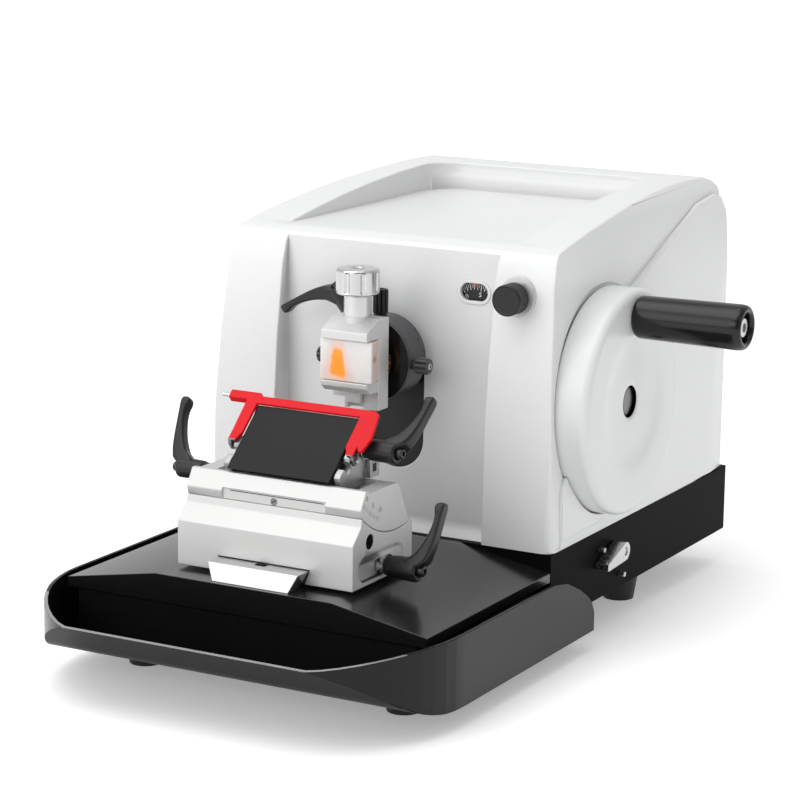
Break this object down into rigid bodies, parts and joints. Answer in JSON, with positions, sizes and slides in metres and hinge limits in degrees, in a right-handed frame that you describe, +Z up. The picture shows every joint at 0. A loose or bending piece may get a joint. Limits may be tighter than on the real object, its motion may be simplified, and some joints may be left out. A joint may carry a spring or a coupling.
{
  "type": "rotary microtome",
  "caption": "Hand-cranked laboratory section cutter: white housing with side handwheel, vertically sliding specimen clamp, blade holder with red guard, and a wrap-around waste tray.",
  "frame": {"origin": "middle of the bounding box in X and Y, on the bench under the rubber feet", "axes": "+Z up; -Y is the front, where the blade holder and the operator are; +X is the side with the crank handwheel"},
  "size_m": [0.388, 0.547, 0.2953],
  "materials": {
    "white_shell": "satin powder-coat white, slightly warm",
    "black_satin": "satin black enamel",
    "black_gloss": "glossy black",
    "black_matte": "matte black, fine grain",
    "grey_dark": "dark grey enamel",
    "rubber_black": "matte",
    "steel_bright": "ground and plated, fine grain",
    "steel_dark": "oiled ground steel",
    "casting": "painted grey casting",
    "aluminium": "turned and bead blasted",
    "copper": "brushed copper-coloured",
    "brass": "turned",
    "red_paint": "gloss red",
    "cassette": "peach, lightly translucent",
    "wax": "frosted paraffin",
    "tissue": "orange-brown stained"
  },
  "bodies": {
    "frame": {"base_casting": "black_satin", "apron_plate": "black_satin", "rubber_feet": "rubber_black", "cover_shell": "white_shell", "scale_bezel": "black_matte", "knob_collar": "black_matte", "dial_bracket": "aluminium", "wheel_pedestal": "casting", "shaft_bearings": "steel_bright", "guide_column": "casting", "guide_rails": "steel_dark", "holder_rail": "steel_bright", "rail_screws": "steel_dark", "lock_pins": "steel_bright", "slot_curtain": "black_matte", "balance_spring": "steel_dark"},
    "crank": {"handwheel": "white_shell", "hub_cap": "black_gloss", "main_shaft": "steel_dark", "crank_disc": "casting", "handle_spindle": "steel_bright"},
    "roller": {"crank_roller": "steel_bright"},
    "grip": {"handle_grip": "black_gloss"},
    "wheel_lock": {"lock_lever": "steel_bright"},
    "slide": {"specimen_slide": "casting", "yoke_plate": "steel_dark", "slot_shutter": "black_matte"},
    "screw": {"feed_screw": "steel_dark", "ratchet_wheel": "steel_dark"},
    "pawl": {"feed_pawl": "steel_bright"},
    "coarse": {"coarse_wheel": "black_gloss"},
    "feed": {"feed_quill": "steel_dark", "feed_nut": "brass", "head_housing": "grey_dark", "head_disc": "black_gloss"},
    "head_lock": {"head_lock_lever": "black_gloss"},
    "pitch": {"gimbal_ring": "steel_dark"},
    "yaw": {"clamp_flange": "copper", "clamp_body": "steel_bright", "tissue_cassette": "cassette", "wax_block": "wax", "tissue_sample": "tissue"},
    "top_knob": {"tilt_knob_top": "steel_dark"},
    "side_knobs": {"tilt_knobs_side": "steel_dark"},
    "clamp_screw": {"clamp_knob": "aluminium"},
    "jaw": {"clamp_jaw": "steel_bright"},
    "tray": {"section_tray": "black_satin"},
    "holder": {"holder_base": "steel_bright"},
    "base_lever": {"base_clamp_lever": "black_gloss"},
    "segment": {"tilt_segment": "steel_bright"},
    "seg_lever": {"segment_lever": "black_gloss"},
    "blade_block": {"holder_body": "steel_bright", "blade": "steel_bright"},
    "blade_lever": {"blade_clamp_lever": "black_gloss"},
    "plate": {"pressure_plate": "black_satin"},
    "guard": {"blade_guard": "red_paint", "guard_pins": "steel_bright"},
    "knob": {"thickness_knob": "black_gloss", "knob_shaft": "steel_dark"},
    "dial": {"scale_dial": "black_matte"}
  },
  "joints": [
    {"name": "handwheel_spin", "type": "hinge", "parent": "frame", "child": "crank", "pos_m": [0.062, 0.0567, 0.1653], "axis": [1, 0, 0], "continuous": true},
    {"name": "roller_spin", "type": "hinge", "parent": "crank", "child": "roller", "pos_m": [0.006, 0.0567, 0.1953], "axis": [1, 0, 0], "continuous": true},
    {"name": "handle_spin", "type": "hinge", "parent": "crank", "child": "grip", "pos_m": [0.152, 0.0575, 0.2245], "axis": [1, 0, 0], "continuous": true},
    {"name": "wheel_lock_turn", "type": "hinge", "parent": "frame", "child": "wheel_lock", "pos_m": [0.101, 0.0688, 0.0563], "axis": [1, 0, 0], "range_deg": [-6, 78]},
    {"name": "specimen_stroke", "type": "slide", "parent": "frame", "child": "slide", "axis": [0, 0, 1], "range_m": [-0.06, 0], "deforming": ["slot_curtain", "balance_spring"]},
    {"name": "coarse_feed_turn", "type": "hinge", "parent": "frame", "child": "coarse", "pos_m": [-0.188, 0.0745, 0.15], "axis": [1, 0, 0], "range_deg": [-5040, 0]},
    {"name": "feed_screw_turn", "type": "hinge", "parent": "slide", "child": "screw", "pos_m": [-0.0338, 0.1245, 0.196], "axis": [0, 1, 0], "range_deg": [-5040, 0]},
    {"name": "specimen_feed", "type": "slide", "parent": "slide", "child": "feed", "axis": [0, 1, 0], "range_m": [-0.028, 0]},
    {"name": "pawl_swing", "type": "hinge", "parent": "slide", "child": "pawl", "pos_m": [-0.0098, 0.1265, 0.2225], "axis": [0, 1, 0], "range_deg": [0, 10]},
    {"name": "head_lock_turn", "type": "hinge", "parent": "feed", "child": "head_lock", "pos_m": [-0.05, -0.0335, 0.2176], "axis": [-0.6, 0, 0.8], "range_deg": [-12, 18]},
    {"name": "specimen_pitch", "type": "hinge", "parent": "feed", "child": "pitch", "pos_m": [-0.0338, -0.0335, 0.196], "axis": [1, 0, 0], "range_deg": [-7, 7]},
    {"name": "specimen_yaw", "type": "hinge", "parent": "pitch", "child": "yaw", "pos_m": [-0.0338, -0.0335, 0.196], "axis": [0, 0, 1], "range_deg": [-7, 7]},
    {"name": "tilt_knob_turn", "type": "hinge", "parent": "feed", "child": "top_knob", "pos_m": [-0.0338, -0.0335, 0.23], "axis": [0, 0, 1], "range_deg": [-720, 720]},
    {"name": "side_knob_turn", "type": "hinge", "parent": "feed", "child": "side_knobs", "pos_m": [-0.0338, -0.0389, 0.1945], "axis": [1, 0, 0], "range_deg": [-720, 720]},
    {"name": "clamp_knob_turn", "type": "hinge", "parent": "yaw", "child": "clamp_screw", "pos_m": [-0.0338, -0.0649, 0.25], "axis": [0, 0, 1], "range_deg": [-1440, 0]},
    {"name": "clamp_jaw_travel", "type": "slide", "parent": "yaw", "child": "jaw", "axis": [0, 0, 1], "range_m": [-0.008, 0]},
    {"name": "section_tray_pull", "type": "slide", "parent": "frame", "child": "tray", "axis": [0, -1, 0], "range_m": [0, 0.18]},
    {"name": "blade_holder_travel", "type": "slide", "parent": "frame", "child": "holder", "axis": [0, 1, 0], "range_m": [-0.01, 0.03]},
    {"name": "base_clamp_turn", "type": "hinge", "parent": "holder", "child": "base_lever", "pos_m": [0.042, -0.1423, 0.0857], "axis": [1, 0, 0], "range_deg": [-60, 30]},
    {"name": "clearance_tilt", "type": "hinge", "parent": "holder", "child": "segment", "pos_m": [-0.0338, -0.12634, 0.17506], "axis": [1, 0, 0], "range_deg": [-5, 5]},
    {"name": "segment_lever_turn", "type": "hinge", "parent": "segment", "child": "seg_lever", "pos_m": [-0.113, -0.1425, 0.1305], "axis": [1, 0, 0], "range_deg": [-30, 45]},
    {"name": "lateral_shift", "type": "slide", "parent": "segment", "child": "blade_block", "axis": [1, 0, 0], "range_m": [-0.008, 0.008]},
    {"name": "blade_lever_turn", "type": "hinge", "parent": "blade_block", "child": "blade_lever", "pos_m": [0.037, -0.1305, 0.157], "axis": [1, 0, 0], "range_deg": [-20, 60]},
    {"name": "pressure_plate_swing", "type": "hinge", "parent": "blade_block", "child": "plate", "pos_m": [-0.0338, -0.15802, 0.14477], "axis": [1, 0, 0], "range_deg": [0, 12]},
    {"name": "guard_swing", "type": "hinge", "parent": "blade_block", "child": "guard", "pos_m": [-0.0338, -0.14656, 0.15217], "axis": [1, 0, 0], "range_deg": [0, 95]},
    {"name": "thickness_knob_turn", "type": "hinge", "parent": "frame", "child": "knob", "pos_m": [0.0619, -0.0305, 0.2441], "axis": [0, -1, 0], "range_deg": [0, 300]},
    {"name": "scale_dial_turn", "type": "hinge", "parent": "frame", "child": "dial", "pos_m": [0.025, -0.0005, 0.22566], "axis": [0, -1, 0], "range_deg": [-120, 0]}
  ],
  "couplings": [
    {"joint": "coarse_feed_turn", "follows": "specimen_feed", "rad_per_m": 3141.6},
    {"joint": "feed_screw_turn", "follows": "specimen_feed", "rad_per_m": 3141.6},
    {"joint": "tilt_knob_turn", "follows": "specimen_pitch", "ratio": 90},
    {"joint": "side_knob_turn", "follows": "specimen_yaw", "ratio": 90},
    {"joint": "clamp_jaw_travel", "follows": "clamp_knob_turn", "m_per_rad": 0.00031831},
    {"joint": "scale_dial_turn", "follows": "thickness_knob_turn", "ratio": -0.36364}
  ]
}
